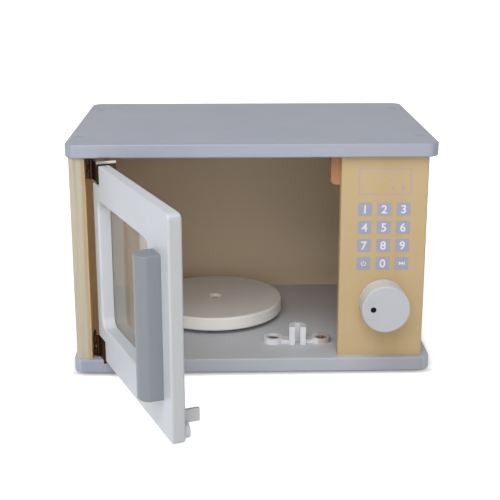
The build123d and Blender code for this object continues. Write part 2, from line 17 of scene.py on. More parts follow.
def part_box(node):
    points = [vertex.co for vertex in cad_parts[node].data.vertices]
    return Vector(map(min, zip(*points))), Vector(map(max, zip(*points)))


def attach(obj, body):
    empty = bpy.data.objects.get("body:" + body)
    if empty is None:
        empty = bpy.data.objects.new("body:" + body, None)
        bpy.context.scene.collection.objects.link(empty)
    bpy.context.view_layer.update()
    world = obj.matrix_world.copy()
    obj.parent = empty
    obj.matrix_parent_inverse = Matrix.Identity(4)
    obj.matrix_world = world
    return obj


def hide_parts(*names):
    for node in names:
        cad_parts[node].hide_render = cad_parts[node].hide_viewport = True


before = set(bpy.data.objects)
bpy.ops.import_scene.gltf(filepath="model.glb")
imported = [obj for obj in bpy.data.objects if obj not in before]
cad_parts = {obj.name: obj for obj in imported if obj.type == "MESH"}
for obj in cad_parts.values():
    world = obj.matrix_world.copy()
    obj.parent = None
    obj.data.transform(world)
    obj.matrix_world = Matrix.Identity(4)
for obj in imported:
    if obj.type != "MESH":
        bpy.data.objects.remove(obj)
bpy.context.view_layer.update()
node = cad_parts

# %% [markdown]
# ## The camera
# The photograph was taken from a little above, slightly left of the middle. The place and the lens
# below came from fitting the straight edges of the boards and the door. A camera could be turned with
# a Track To constraint, but plain angles say exactly where it looks and nothing depends on them.


# %% Set the camera
def put_in_scene(name, data):
    """A new object that shows in the scene."""
    made = bpy.data.objects.new(name, data)
    bpy.context.scene.collection.objects.link(made)
    return made


eye = Vector((-0.0224, -0.9538, 0.3565))
look_down = radians(16.4)
look_right = radians(1.37)
focal_length_pixels = 1075.6
photo_width_pixels = 500
nearest_seen = 0.01

lens = bpy.data.cameras.new("camera")
lens.lens = lens.sensor_width * focal_length_pixels / photo_width_pixels
lens.clip_start = nearest_seen
camera = put_in_scene("camera", lens)
camera.location = eye
camera.rotation_euler = (pi / 2 - look_down, 0, -look_right)
bpy.context.scene.camera = camera
bpy.context.scene.view_settings.view_transform = "Standard"
print("lens:", round(lens.lens, 2), "mm")

# %% [markdown]
# ## Helpers for node trees
# Every finish and every Geometry Nodes tree is a handful of nodes with their values set and joined. One
# helper makes a node and fills its sockets: a plain value is set, and a socket of another node is
# joined, so that a tree reads from its start to its end. Another turns a colour as a screen shows it
# into the values that a shader takes.


# %% Make and join nodes
def join(tree, giver, taker):
    """A link from one socket to another."""
    tree.links.new(giver, taker)


def add_node(tree, kind, values=None, **settings):
    """A new node with its settings; each named input gets a plain value or a link."""
    made = tree.nodes.new(kind)
    for name, value in settings.items():
        setattr(made, name, value)
    for name, value in (values or {}).items():
        if isinstance(value, bpy.types.NodeSocket):
            join(tree, value, made.inputs[name])
        else:
            made.inputs[name].default_value = value
    return made


def srgb(red, green, blue):
    """A screen colour, from 0 to 255, as linear values by the standard curve of screens."""
    shown = np.array((red, green, blue)) / 255
    linear = np.where(shown <= 0.04045, shown / 12.92, ((shown + 0.055) / 1.055) ** 2.4)
    return (*linear.tolist(), 1.0)


print("a middle grey of 128 is", round(srgb(128, 128, 128)[0], 3), "to a shader")

# %% [markdown]
# ## The studio
# The photograph has a white background and only a narrow dark shadow along the toy's front. A floor
# that is merely white turns grey wherever the toy dims the light a little. So the camera sees an
# over-bright floor, on which half shade still reads as white. A large backdrop could do the same, but it
# would show its edge from behind. The floor glows more the farther it lies from the toy, so that it runs
# into the white world without an edge. All other rays meet a plain pale floor that lights the toy.

# %% Lay the floor
floor_size = 12.0
bpy.ops.mesh.primitive_plane_add(size=floor_size)
floor = bpy.context.object
floor.name = "studio_floor"

floor_finish = bpy.data.materials.new("studio_floor")
floor_finish.use_nodes = True
floor.data.materials.append(floor_finish)
tree = floor_finish.node_tree
tree.nodes.clear()
ground = add_node(tree, "ShaderNodeTexCoord").outputs["Object"]
print("floor:", floor_size, "m square")

# %% [markdown]
# Where the toy stands within some millimetres of the floor, an occlusion node finds the crease between
# them and darkens the floor. It does so fully in front, where the photograph shows a shadow, and about
# half as much beside and behind the toy, where it shows none.

# %% Darken the crease under the toy
crease_reach = 0.012
crease_samples = 16
crease_depth = 2.8
front_starts, front_full = 0.006, -0.001
share_elsewhere = 0.45
base_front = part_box("bottom_board")[0].y

crease = add_node(tree, "ShaderNodeAmbientOcclusion", {"Distance": crease_reach}, samples=crease_samples)
deepened = add_node(tree, "ShaderNodeMath", {0: crease.outputs["AO"], 1: crease_depth}, operation="POWER")
loss = add_node(tree, "ShaderNodeMath", {0: deepened.outputs[0], 1: 1.0}, operation="SUBTRACT")
axes = add_node(tree, "ShaderNodeSeparateXYZ", {0: ground})
in_front = add_node(tree, "ShaderNodeMapRange", {
    "Value": axes.outputs["Y"], "From Min": base_front + front_starts,
    "From Max": base_front + front_full, "To Min": share_elsewhere, "To Max": 1.0})
contact = add_node(tree, "ShaderNodeMath", {0: loss.outputs[0], 1: in_front.outputs[0], 2: 1.0},
                   operation="MULTIPLY_ADD")
print("contact shadow reaches", crease_reach * 1000, "mm from the toy")


# %% Turn the floor white where it is seen
def seen_directly(tree):
    """A socket that is 1 for rays that show a thing: straight, in a mirror or through the pane."""
    paths = add_node(tree, "ShaderNodeLightPath")
    straight = add_node(tree, "ShaderNodeMath", {
        0: paths.outputs["Is Camera Ray"], 1: paths.outputs["Is Glossy Ray"]}, operation="MAXIMUM")
    through = add_node(tree, "ShaderNodeMath", {
        0: straight.outputs[0], 1: paths.outputs["Is Transmission Ray"]}, operation="MAXIMUM")
    return through.outputs[0]


pure_white = (1, 1, 1, 1)
plain_floor = (0.8, 0.8, 0.8, 1)
bright_floor = 1.1
glow_starts, glow_full = 0.2, 0.5
near_glow, far_glow = 0.6, 1.0

bright_tone = add_node(tree, "ShaderNodeMath", {0: contact.outputs[0], 1: bright_floor}, operation="MULTIPLY")
bright = add_node(tree, "ShaderNodeBsdfDiffuse", {"Color": bright_tone.outputs[0]})
distance = add_node(tree, "ShaderNodeVectorMath", {0: ground}, operation="LENGTH")
glow_rise = add_node(tree, "ShaderNodeMapRange", {
    "Value": distance.outputs["Value"], "From Min": glow_starts, "From Max": glow_full,
    "To Min": near_glow, "To Max": far_glow})
glow_tone = add_node(tree, "ShaderNodeMath", {0: glow_rise.outputs[0], 1: contact.outputs[0]},
                     operation="MULTIPLY")
glow = add_node(tree, "ShaderNodeEmission", {"Color": pure_white, "Strength": glow_tone.outputs[0]})
both = add_node(tree, "ShaderNodeAddShader", {0: bright.outputs[0], 1: glow.outputs[0]})
shaded = add_node(tree, "ShaderNodeBsdfDiffuse", {"Color": plain_floor})
choose = add_node(tree, "ShaderNodeMixShader", {
    0: seen_directly(tree), 1: shaded.outputs[0], 2: both.outputs[0]})
add_node(tree, "ShaderNodeOutputMaterial", {0: choose.outputs[0]})
print("floor glow:", near_glow, "under the toy,", far_glow, "beyond", glow_full, "m")

# %% [markdown]
# ## The light
# Studio light comes from large soft boxes and from white walls all round. The world gives the even part,
# slightly bluish, and reads as pure white where the camera sees it. A picture of a studio could light
# the toy instead, but three area lamps and a plain world say in a few numbers where the light stands:
# a strong lamp high in front, a weaker one low in front for the edges, and one from the left.

# %% Light the world softly from all sides
fill_colour = (0.94, 0.97, 1.0, 1)
fill_strength = 0.24
world = bpy.data.worlds.new("studio")
world.use_nodes = True
bpy.context.scene.world = world
tree = world.node_tree
tree.nodes.clear()
white = add_node(tree, "ShaderNodeBackground", {"Color": pure_white, "Strength": 1.0})
fill = add_node(tree, "ShaderNodeBackground", {"Color": fill_colour, "Strength": fill_strength})
choose = add_node(tree, "ShaderNodeMixShader", {
    0: seen_directly(tree), 1: fill.outputs[0], 2: white.outputs[0]})
add_node(tree, "ShaderNodeOutputWorld", {0: choose.outputs[0]})
print("world fill:", fill_strength)


# %% Hang three soft lamps
def hang_lamp(name, place, aim, size, power):
    """A square soft box that looks at a point."""
    soft_box = bpy.data.lights.new(name, "AREA")
    soft_box.size = size
    soft_box.energy = power
    lamp = put_in_scene(name, soft_box)
    lamp.location = place
    lamp.rotation_euler = (Vector(aim) - Vector(place)).to_track_quat("-Z", "Y").to_euler()
    print(name, power, "W")


toy_middle = (0.0, -0.03, 0.1)
hang_lamp("front_soft_box", (-0.25, -1.25, 1.42), toy_middle, 1.3, 20.0)
hang_lamp("low_front_soft_box", (0.1, -1.65, 0.35), toy_middle, 1.2, 6.0)
hang_lamp("left_soft_box", (-1.3, -0.9, 0.7), toy_middle, 0.9, 5.0)

# %% [markdown]
# ## What all finishes share
# Every finish of the toy is one main shader. Patterns in the object's own coordinates drive its colour,
# its gloss and its relief. An image could carry all three, but noise in object space fits every piece
# without a seam and at any size. These helpers hold the steps that come back, so that each finish
# below says only what is its own.


# %% Begin a finish and its patterns
def begin_finish(name):
    """A material, its tree and the object coordinates that its patterns follow."""
    material = bpy.data.materials.new(name)
    material.use_nodes = True
    tree = material.node_tree
    print("finish:", name)
    return material, tree, add_node(tree, "ShaderNodeTexCoord").outputs["Object"]


def stretched(tree, place, scale, shift=(0, 0, 0)):
    """Coordinates that are scaled and moved before a pattern reads them."""
    made = add_node(tree, "ShaderNodeMapping", {"Vector": place, "Scale": scale, "Location": shift})
    return made.outputs[0]


def noise(tree, place, scale, detail, roughness=0.5):
    """The grey value of a cloudy noise."""
    made = add_node(tree, "ShaderNodeTexNoise", {
        "Vector": place, "Scale": scale, "Detail": detail, "Roughness": roughness})
    return made.outputs["Fac"]


def weighted_sum(tree, first, share, second):
    """A share of the first value, added to the second."""
    made = add_node(tree, "ShaderNodeMath", {0: first, 1: share, 2: second}, operation="MULTIPLY_ADD")
    return made.outputs[0]


# %% Drive the main shader
def drive_shader(material, colour, gloss, relief):
    """Run the base colour, the roughness and the bumps from patterns. Colour and gloss are each a
    pattern and the two values that it runs between, relief a pattern, a strength and a height."""
    tree = material.node_tree
    surface = tree.nodes["Principled BSDF"]
    tones = add_node(tree, "ShaderNodeMix", {"Factor": colour[0], "A": colour[1], "B": colour[2]},
                     data_type="RGBA")
    rough = add_node(tree, "ShaderNodeMapRange", {"Value": gloss[0], "To Min": gloss[1], "To Max": gloss[2]})
    bump = add_node(tree, "ShaderNodeBump", {
        "Height": relief[0], "Strength": relief[1], "Distance": relief[2]})
    join(tree, tones.outputs["Result"], surface.inputs["Base Color"])
    join(tree, rough.outputs[0], surface.inputs["Roughness"])
    join(tree, bump.outputs[0], surface.inputs["Normal"])


def dress(material, *names):
    """Put a finish on CAD nodes; their meshes stay as they are."""
    for name in names:
        for holder in node[name].material_slots:
            holder.material = material
    print(material.name, "on", len(names), "nodes")


# %% [markdown]
# ## Tint one zone of a finish
# Some faces look different from the rest of their piece in the photograph: a board's front edge, the
# end of the base, the top of a hinge. These tints are mostly painted highlights and painted shade. Each
# could have a finish of its own, but a CAD mesh stays as it is, with one finish for the whole node. So
# the finish itself changes along one axis of the object's coordinates, and a sloping face is reached by
# turning them about the upright axis first.


# %% Tint one zone
x_axis, y_axis, z_axis = 0, 1, 2


def tint_zone(material, tint, axis, start, stop, turn=0.0):
    """Multiply a finish by a tint that fades in from start to stop along one axis."""
    tree = material.node_tree
    surface = tree.nodes["Principled BSDF"]
    before = surface.inputs["Base Color"].links[0].from_socket
    place = add_node(tree, "ShaderNodeTexCoord").outputs["Object"]
    turned = add_node(tree, "ShaderNodeMapping", {"Vector": place, "Rotation": (0, 0, turn)})
    parts = add_node(tree, "ShaderNodeSeparateXYZ", {0: turned.outputs[0]})
    zone = add_node(tree, "ShaderNodeMapRange", {
        "Value": parts.outputs[axis], "From Min": start, "From Max": stop})
    tinted = add_node(tree, "ShaderNodeMix", {"Factor": zone.outputs[0], "A": before, "B": (*tint, 1)},
                      data_type="RGBA", blend_type="MULTIPLY")
    join(tree, tinted.outputs["Result"], surface.inputs["Base Color"])
    print(material.name, "tinted from", round(start, 4), "to", round(stop, 4))


# %% [markdown]
# ## Paint over wood
# The top, the base and the handle are sprayed grey, the door, the knob and the turntable white. Real
# paint on wood isn't flat: it has a fine orange peel, a faint memory of the grain under it and slightly
# uneven gloss. One fine and one stretched noise make the relief, and a coarse one sways tone and gloss.


# %% Mix the paint
def paint_finish(name, colour, shade, roughness, grain_stretch=(6, 60, 60)):
    """Satin paint: two close tones, orange peel, and grain that shows faintly through."""
    cloud_scale, peel_scale, grain_scale = 18.0, 1400.0, 12.0
    peel_share = 0.35
    smoother, rougher = 0.05, 0.07
    bump_strength, bump_height = 0.18, 0.0004
    mirror_share = 0.45
    material, tree, place = begin_finish(name)
    cloud = noise(tree, place, cloud_scale, 3.0, 0.6)
    grain = noise(tree, stretched(tree, place, grain_stretch), grain_scale, 4.0)
    relief = weighted_sum(tree, noise(tree, place, peel_scale, 2.0), peel_share, grain)
    drive_shader(material, (cloud, colour, shade), (cloud, roughness - smoother, roughness + rougher),
                 (relief, bump_strength, bump_height))
    tree.nodes["Principled BSDF"].inputs["Specular IOR Level"].default_value = mirror_share
    return material


grain_up, grain_deep = (60, 60, 6), (60, 6, 60)
grey_paint = paint_finish("grey_paint", srgb(154, 158, 169), srgb(149, 153, 164), 0.45)
base_paint = paint_finish("base_paint", srgb(197, 200, 205), srgb(192, 195, 200), 0.45)
handle_paint = paint_finish("handle_paint", srgb(130, 134, 141), srgb(124, 128, 135), 0.42, grain_up)
white_paint = paint_finish("white_paint", srgb(202, 206, 212), srgb(196, 200, 206), 0.42, grain_up)
knob_paint = paint_finish("knob_paint", srgb(214, 215, 217), srgb(208, 209, 211), 0.45, grain_deep)
plate_paint = paint_finish("plate_paint", srgb(243, 240, 236), srgb(237, 233, 228), 0.30)

# %% [markdown]
# The top's front edge carries a painted highlight that makes it lighter than its face. The base is the
# other way round: painted shade darkens its front edge and both ends, and its rear part inside the oven
# is painted warmer and darker as shade.

# %% Paint the top and the base
skin = 0.0005
top_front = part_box("top_board")[0].y
# painted highlight: the top's front edge is made lighter than its face
painted_highlight_edge = (1.14, 1.13, 1.16)
tint_zone(grey_paint, painted_highlight_edge, y_axis, top_front + 2 * skin, top_front + skin)
dress(grey_paint, "top_board", "top_board_plugs")

base_low, base_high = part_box("bottom_board")
# painted shade: the base's front edge and both ends are made darker, the rear of the oven floor darker and
# warmer
base_front_painted_shade, left_end_painted_shade, right_end_painted_shade = (0.78, 0.78, 0.82), (0.70, 0.73, 0.80), (0.78, 0.78, 0.78)
rear_floor_painted_shade = (0.88, 0.82, 0.80)
left_starts, left_full = 0.040, 0.015
right_starts, right_full = 0.075, 0.030
rear_starts, rear_full = -0.055, 0.020
tint_zone(base_paint, base_front_painted_shade, y_axis, base_low.y + 2 * skin, base_low.y + skin)
tint_zone(base_paint, left_end_painted_shade, x_axis, base_low.x + left_starts, base_low.x + left_full)
tint_zone(base_paint, right_end_painted_shade, x_axis, base_high.x - right_starts, base_high.x - right_full)
tint_zone(base_paint, rear_floor_painted_shade, y_axis, rear_starts, rear_full)
dress(base_paint, "bottom_board")

# %% [markdown]
# The door's free edge is a little yellower than its face and carries painted shade. The door stands open
# by 68 degrees, so the coordinates are turned by as much before the edge is found. Painted shade makes
# the knob's face darker than its side, and the turntable's top darker than its rim.

# %% Paint the door, the handle, the knob and the turntable
door_turn = radians(68)
door_along = Vector((cos(door_turn), -sin(door_turn), 0))
free_edge = max(corner.co.dot(door_along) for corner in node["door_frame"].data.vertices)
# painted shade, with a slightly yellower tone, on the door's free edge
free_edge_shade_and_tone, edge_starts, edge_full = (0.85, 0.83, 0.79), 2.5 * skin, skin
tint_zone(white_paint, free_edge_shade_and_tone, x_axis, free_edge - edge_starts, free_edge - edge_full, door_turn)
dress(white_paint, "door_frame")
dress(handle_paint, "door_handle")

knob_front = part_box("knob")[0].y
# painted shade: the knob's face is made darker than its side
knob_face_painted_shade, knob_rounding = (0.76, 0.77, 0.80), 0.0012
tint_zone(knob_paint, knob_face_painted_shade, y_axis, knob_front + knob_rounding, knob_front)
dress(knob_paint, "knob")

plate_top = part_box("turntable")[1].z
# painted shade: the turntable's top is made darker than its rim
plate_top_painted_shade, plate_rounding, plate_flat = (0.78, 0.77, 0.75), 0.0010, 0.0004
tint_zone(plate_paint, plate_top_painted_shade, z_axis, plate_top - plate_rounding, plate_top - plate_flat)
dress(plate_paint, "turntable")

# %% [markdown]
# ## Bare wood
# Pine shows pale early wood and darker late wood in long stripes that wander slowly. Blender's Wave
# Texture could draw them, but its stripes stay too even. Here they are made from a distance across the
# grain that noise bends, cut into rings by a sine that fades in patches.


# %% Bend the year rings
def year_rings(tree, place, coarse_place, rings, wander, grain_axis):
    """Late wood as stripes across the grain, from 0 to 1."""
    cross_slope = 0.7
    late_starts, late_full = -0.2, 1.0
    patch_scale, patch_starts, patch_full, palest_patch = 3.5, 0.38, 0.62, 0.2
    parts = add_node(tree, "ShaderNodeSeparateXYZ", {0: place})
    across, inward = [parts.outputs[axis] for axis in (x_axis, y_axis, z_axis) if axis != grain_axis]
    sideways = weighted_sum(tree, inward, cross_slope, across)
    bent = weighted_sum(tree, noise(tree, coarse_place, 1.0, 2.0), wander, sideways)
    turns = add_node(tree, "ShaderNodeMath", {0: bent, 1: rings * 2 * pi}, operation="MULTIPLY")
    wave = add_node(tree, "ShaderNodeMath", {0: turns.outputs[0]}, operation="SINE")
    late = add_node(tree, "ShaderNodeMapRange", {
        "Value": wave.outputs[0], "From Min": late_starts, "From Max": late_full},
        interpolation_type="SMOOTHSTEP")
    fading = add_node(tree, "ShaderNodeMapRange", {
        "Value": noise(tree, coarse_place, patch_scale, 1.0), "From Min": patch_starts,
        "From Max": patch_full, "To Min": palest_patch, "To Max": 1.0})
    faded = add_node(tree, "ShaderNodeMath", {0: late.outputs[0], 1: fading.outputs[0]}, operation="MULTIPLY")
    return faded.outputs[0]


# %% [markdown]
# Fine fibres lie over the rings. They come from a noise that is stretched nearly fifty times along the
# grain, and they carry the relief and the uneven gloss too. The grain runs upright on the sides and the
# control panel and lies across on the back, as the boards were cut.


# %% Grow the grain
def wood_finish(name, pale, dark, rings, wander, fibre, grain_axis, roughness, seed=0.0):
    """Bare varnished wood whose grain runs along one axis."""
    coarse, fine = [9.0, 9.0, 9.0], [520.0, 520.0, 520.0]
    coarse[grain_axis], fine[grain_axis] = 1.6, 11.0
    palest, rougher = 0.1, 0.12
    bump_strength, bump_height = 0.12, 0.0003
    material, tree, place = begin_finish(name)
    coarse_place = stretched(tree, place, coarse, (seed, seed / 2, seed / 3))
    fibres = noise(tree, stretched(tree, place, fine), 1.0, 3.0, 0.65)
    late_wood = year_rings(tree, place, coarse_place, rings, wander, grain_axis)
    mixed = weighted_sum(tree, fibres, fibre, late_wood)
    spread = add_node(tree, "ShaderNodeMapRange", {
        "Value": mixed, "From Min": palest, "From Max": 1.0 + fibre})
    drive_shader(material, (spread.outputs[0], pale, dark), (fibres, roughness, roughness + rougher),
                 (mixed, bump_strength, bump_height))
    return material


side_pine = wood_finish("side_pine", srgb(206, 198, 178), srgb(186, 172, 144), 110, 0.055, 0.9, z_axis, 0.5)
inner_pine = wood_finish("inner_pine", srgb(186, 179, 159), srgb(161, 147, 121), 120, 0.055, 0.9, z_axis, 0.5)
panel_pine = wood_finish("panel_pine", srgb(191, 167, 125), srgb(186, 159, 115), 22, 0.100, 0.6, z_axis,
                         0.48, 3.0)
back_ply = wood_finish("back_ply", srgb(207, 187, 160), srgb(197, 176, 149), 16, 0.200, 0.8, x_axis,
                       0.55, 7.0)
red_wood = wood_finish("red_wood", srgb(184, 132, 94), srgb(150, 99, 66), 90, 0.020, 0.8, z_axis, 0.5, 5.0)
beech = wood_finish("beech", srgb(205, 176, 140), srgb(180, 146, 108), 120, 0.010, 0.8, y_axis, 0.5, 1.0)

# %% [markdown]
# The left side shows two faces at once. Its inner face carries painted warm bounce light that makes it
# much warmer than its front edge, and painted shade darkens the inner part of that edge, beside the hinges.

# %% Dress the wooden pieces
left_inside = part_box("left_side_panel")[1].x
# painted shade on the inner part of the left side's front edge, painted warm bounce light on its inner face
edge_strip_painted_shade, strip_starts, strip_full = (0.90, 0.76, 0.64), 0.0040, 0.0022
inner_face_painted_bounce, face_starts, face_full = (1.94, 1.55, 1.06), 0.0009, 0.0002
tint_zone(inner_pine, edge_strip_painted_shade, x_axis, left_inside - strip_starts, left_inside - strip_full)
tint_zone(inner_pine, inner_face_painted_bounce, x_axis, left_inside - face_starts, left_inside - face_full)
dress(inner_pine, "left_side_panel")
dress(side_pine, "right_side_panel")
dress(panel_pine, "control_panel")
dress(back_ply, "back_panel")
dress(red_wood, "upper_corner_block", "lower_corner_block")
dress(beech, "knob_shaft", "knob_retainer", "turntable_spacer")

# %% [markdown]
# ## Plastics and metal
# The catch is moulded white plastic, the hinges are bronzed, the screws zinc plated, and a dull black
# plug marks the knob. Handling leaves uneven gloss and the finest of scratches on all of them, so one
# stretched noise drives tone, gloss and relief. The catch's right ear is painted brown with the shade
# and warm bounce light of the wood beside it. Above the door's top edge the upper hinge carries a painted
# highlight, so one finish runs from bronze to a bright metal tone.


# %% Mould and plate the small parts
def smooth_finish(name, colour, roughness, metallic=0.0, scratch_scale=(300, 300, 300), scratch=0.06):
    """Plastic or plated metal with a slightly uneven gloss and the finest of scratches."""
    darker_share = 0.86
    bump_strength, bump_height = 0.05, 0.0002
    material, tree, place = begin_finish(name)
    tree.nodes["Principled BSDF"].inputs["Metallic"].default_value = metallic
    wear = noise(tree, stretched(tree, place, scratch_scale), 1.0, 4.0)
    shade = (*(channel * darker_share for channel in colour[:3]), 1)
    drive_shader(material, (wear, colour, shade), (wear, roughness - scratch, roughness + scratch),
                 (wear, bump_strength, bump_height))
    return material


drawn_down = (60, 60, 900)
catch_plastic = smooth_finish("catch_plastic", srgb(226, 226, 230), 0.30)
striker_plastic = smooth_finish("striker_plastic", srgb(196, 198, 198), 0.34)
black_plug = smooth_finish("black_plug", srgb(10, 10, 14), 0.6)
bronze = smooth_finish("bronze", srgb(66, 46, 34), 0.5, 1.0, drawn_down)
bronze_painted_highlight = smooth_finish("bronze_painted_highlight", srgb(176, 173, 166), 0.34, 1.0, drawn_down)
zinc = smooth_finish("zinc", srgb(188, 187, 184), 0.32, 1.0, (500, 500, 500))

# %% Dress the catch, the plug and the hinges
clip_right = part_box("catch_clip")[1].x
# painted shade and warm bounce light: the catch's right ear is tinted brown
ear_painted_shade_and_bounce, ear_starts, ear_full = (0.68, 0.58, 0.50), 0.0125, 0.0100
tint_zone(catch_plastic, ear_painted_shade_and_bounce, x_axis, clip_right - ear_starts, clip_right - ear_full)
dress(catch_plastic, "catch_clip")
dress(striker_plastic, "catch_striker")

dull_mirror_share = 0.1
black_plug.node_tree.nodes["Principled BSDF"].inputs["Specular IOR Level"].default_value = dull_mirror_share
dress(black_plug, "knob_marker")

door_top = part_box("door_frame")[1].z
# painted highlight: the upper hinge is made bright above the door's top edge
bronze_share, highlight_above, bronze_below = (0.11, 0.07, 0.045), 0.0018, 0.0012
tint_zone(bronze_painted_highlight, bronze_share, z_axis, door_top + highlight_above, door_top + bronze_below)
dress(bronze_painted_highlight, "upper_hinge_door_leaf")
dress(bronze, "upper_hinge_wall_leaf", "upper_hinge_pin",
      "lower_hinge_wall_leaf", "lower_hinge_door_leaf", "lower_hinge_pin")

# %% [markdown]
# ## The clear pane
# The window is a sheet of clear acrylic. A Glass shader could show it, but the main shader with its
# Transmission raised keeps the same wear as the other small parts. Acrylic bends light by 1.49. In the
# photograph the pane mirrors next to nothing, so it bends light less here, and a tenth of it is milky.

# %% Cast the clear pane
pane_clearness = 0.90
pane_bending = 1.15
clear_pane = smooth_finish("clear_pane", srgb(250, 246, 239), 0.015, 0.0, (40, 40, 40), 0.01)
pane_shader = clear_pane.node_tree.nodes["Principled BSDF"]
pane_shader.inputs["Transmission Weight"].default_value = pane_clearness
pane_shader.inputs["IOR"].default_value = pane_bending
dress(clear_pane, "door_window")

# %% [markdown]
# ## Screws: where they sit
# Every screw of the toy is a cross-headed wood screw, and the CAD model holds each as a plain solid.
# Its corner points tell all that is needed: their longest direction is the axis, the wide end is the
# head and the narrow end the shank. Typing in each place would work too, but it would go wrong as
# soon as a screw moved in the CAD model.


# %% Read where a node's screws sit
def solids_of(name):
    """The separate solids of a CAD node, each as an array of its corner points."""
    weld_distance = 1e-6
    merged = bmesh.new()
    merged.from_mesh(node[name].data)
    bmesh.ops.remove_doubles(merged, verts=merged.verts, dist=weld_distance)
    taken = set()
    found = []
    for first in merged.verts:
        if first in taken:
            continue
        taken.add(first)
        reached = [first]
        for vertex in reached:
            for edge in vertex.link_edges:
                other = edge.other_vert(vertex)
                if other not in taken:
                    taken.add(other)
                    reached.append(other)
        found.append(np.array([vertex.co for vertex in reached]))
    merged.free()
    return found


print("screws that hold the window:", len(solids_of("window_screws")))


# %% Measure one screw
def screw_seat(points):
    """The top, the axis out of the head and the sizes of one screw solid."""
    end_slice = 1e-4
    middle = points.mean(0)
    axis = np.linalg.eigh(np.cov((points - middle).T))[1][:, 2]
    along = (points - middle) @ axis
    away = np.linalg.norm((points - middle) - np.outer(along, axis), axis=1)
    if away[along > along.max() - end_slice].max() < away[along < along.min() + end_slice].max():
        axis, along = -axis, -along
    shank = away[along < along.min() + end_slice].max()
    head = away.max()
    seat = along[away > (head + shank) / 2].min()
    return {"place": middle + axis * along.max(), "axis": axis, "head": head, "shank": shank,
            "height": along.max() - seat, "length": along.max() - along.min()}


window_screw = screw_seat(solids_of("window_screws")[0])
print("a window screw is", round(window_screw["length"] * 1000, 1), "mm long")

# %% [markdown]
# ## Screws: turn one
# A screw is a turned part, so it is built from rings of corners round its axis. The Screw modifier could
# wind a thread, but it leaves the ends open. Here each ring's radius follows the helix, and the thread
# comes out closed. The cross is cut into the domed head by a Boolean with two crossed bars.


# %% Close rings of corners
def mesh_of(form, name):
    """The finished mesh of a bmesh, which is given back to memory."""
    mesh = bpy.data.meshes.new(name)
    form.to_mesh(mesh)
    form.free()
    return mesh


def turned_row(form, radii, z):
    """One ring of corners round the upright axis, each at its own radius."""
    step = 2 * pi / len(radii)
    return [form.verts.new((r * cos(s * step), r * sin(s * step), z)) for s, r in enumerate(radii)]


def close_rows(form, rows):
    """Faces between each ring and the next one above it."""
    for low, high in zip(rows, rows[1:]):
        for s in range(len(low)):
            after = (s + 1) % len(low)
            form.faces.new((low[s], low[after], high[after], high[s]))


# %% Turn the head
def screw_head(name, head, height, dome, sides=20):
    """A domed head with its crown at the origin, closed underneath."""
    under_share, edge_share, dome_steps = 0.94, 0.4, 5
    form = bmesh.new()
    rim = height * (1 - dome)
    rings = [(head * under_share, -height), (head, -height + rim * edge_share), (head, -height + rim)]
    for step in range(1, dome_steps):
        angle = step * pi / 2 / dome_steps
        rings.append((head * cos(angle), -height * dome * (1 - sin(angle))))
    rows = [turned_row(form, [radius] * sides, z) for radius, z in rings]
    close_rows(form, rows)
    crown = form.verts.new((0, 0, 0))
    under = form.verts.new((0, 0, -height))
    for s in range(sides):
        after = (s + 1) % sides
        form.faces.new((rows[-1][s], rows[-1][after], crown))
        form.faces.new((rows[0][after], rows[0][s], under))
    return mesh_of(form, name)


# %% Shape the cross
def cross_cutter(name, head, height):
    """Two crossed bars that narrow downwards, as the tip of a driver does."""
    bar_width, bar_reach, bar_depth, bottom_share = head * 0.22, head * 0.62, height * 0.6, 0.55
    form = bmesh.new()
    for turned in (0, pi / 2):
        for vertex in bmesh.ops.create_cube(form, size=1.0)["verts"]:
            share, z = (1.0, bar_depth) if vertex.co.z > 0 else (bottom_share, -bar_depth)
            shaped = Vector((vertex.co.x * bar_width * share, vertex.co.y * 2 * bar_reach * share, z))
            vertex.co = Matrix.Rotation(turned, 3, "Z") @ shaped
    return mesh_of(form, name)


# %% Wind the thread
def screw_thread(name, shank, height, length, sides=12):
    """A closed shank under the head: a plain neck, then a helical thread that tapers to the tip."""
    pitch, rows_per_turn = shank * 0.9, 6
    neck_share, neck_crest = 0.25, 0.6
    core_share, crest_share = 0.72, 0.27
    taper_length, tip_share = shank * 3, 0.15
    form = bmesh.new()
    body_length = length - height
    steps = int(body_length / pitch * rows_per_turn)
    rows = []
    for step in range(steps + 1):
        depth = body_length * step / steps
        taper = min(1.0, (body_length - depth) / taper_length + tip_share)
        radii = []
        for s in range(sides):
            phase = (depth / pitch - s / sides) % 1.0
            crest = max(0.0, 1 - abs(phase - 0.5) * 4) if depth > body_length * neck_share else neck_crest
            radii.append(shank * taper * (core_share + crest_share * crest))
        rows.append(turned_row(form, radii, -height - depth))
    close_rows(form, rows[::-1])
    form.faces.new(rows[0])
    form.faces.new(reversed(rows[-1]))
    return mesh_of(form, name)


# %% Put one screw together
def plain_mesh(holder):
    """What an object's modifiers or font make of it, as a plain mesh."""
    bpy.context.view_layer.update()
    graph = bpy.context.evaluated_depsgraph_get()
    return bpy.data.meshes.new_from_object(holder.evaluated_get(graph))


def turned_screw(name, head, shank, height, length, dome):
    """A screw that hangs tip down from the origin: domed head, cross recess and helical thread."""
    head_piece = put_in_scene(name + "_head", screw_head(name + "_head", head, height, dome))
    cutter_piece = put_in_scene(name + "_cutter", cross_cutter(name + "_cutter", head, height))
    cut = head_piece.modifiers.new("cross", "BOOLEAN")
    cut.operation = "DIFFERENCE"
    cut.use_self = True
    cut.object = cutter_piece
    finished = bmesh.new()
    finished.from_mesh(plain_mesh(head_piece))
    finished.from_mesh(screw_thread(name + "_thread", shank, height, length))
    bpy.data.objects.remove(head_piece)
    bpy.data.objects.remove(cutter_piece)
    return put_in_scene(name, mesh_of(finished, name))


# %% [markdown]
# ## Screws: set them all
# Geometry Nodes set a copy of the screw at each place and turn it to that solid's own axis. Copying
# objects by hand would work too, but the tree keeps all screws of a group in one mesh that one body
# carries. The tree ends in real geometry, because a copy that is only pointed at would be lost on export.


